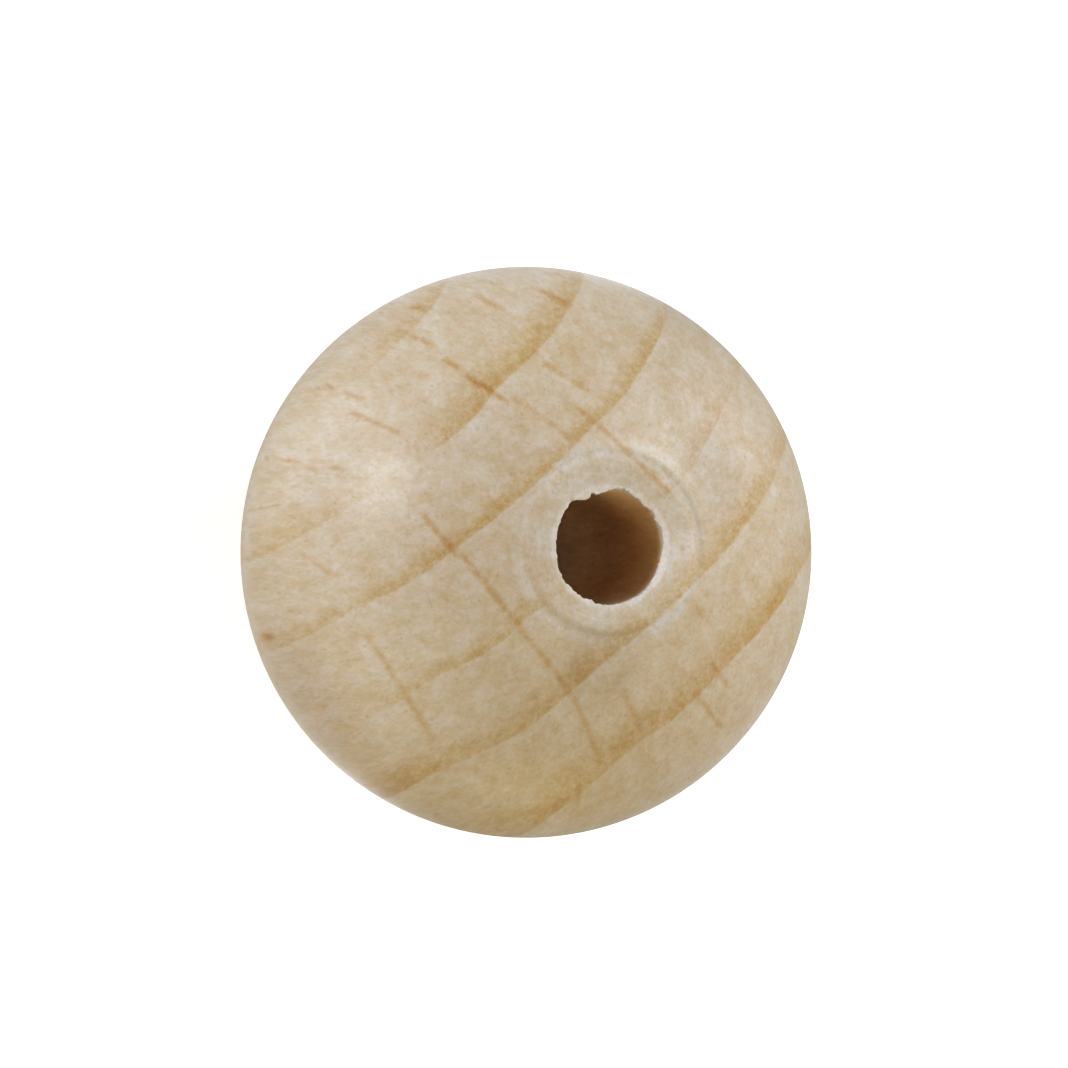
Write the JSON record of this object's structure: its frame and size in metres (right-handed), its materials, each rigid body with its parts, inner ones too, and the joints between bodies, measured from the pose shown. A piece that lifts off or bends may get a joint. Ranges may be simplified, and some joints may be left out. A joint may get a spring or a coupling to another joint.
{
  "type": "wooden ball",
  "caption": "Turned hardwood ball with a round bore right through its centre along the grain, to go on a cord, dowel or peg; each end is turned to a small flat ring.",
  "frame": {"origin": "centre of the ball, halfway along the bore", "axes": "+Z along the bore, towards the mouth with the torn edge; the growth rings curve about a line towards -X and +Y"},
  "size_m": [0.025, 0.025, 0.0238],
  "materials": {
    "wood": "pale untreated beech, sanded to a dull sheen, with end grain round the bore"
  },
  "bodies": {
    "root": {"ball": "wood"}
  },
  "joints": []
}
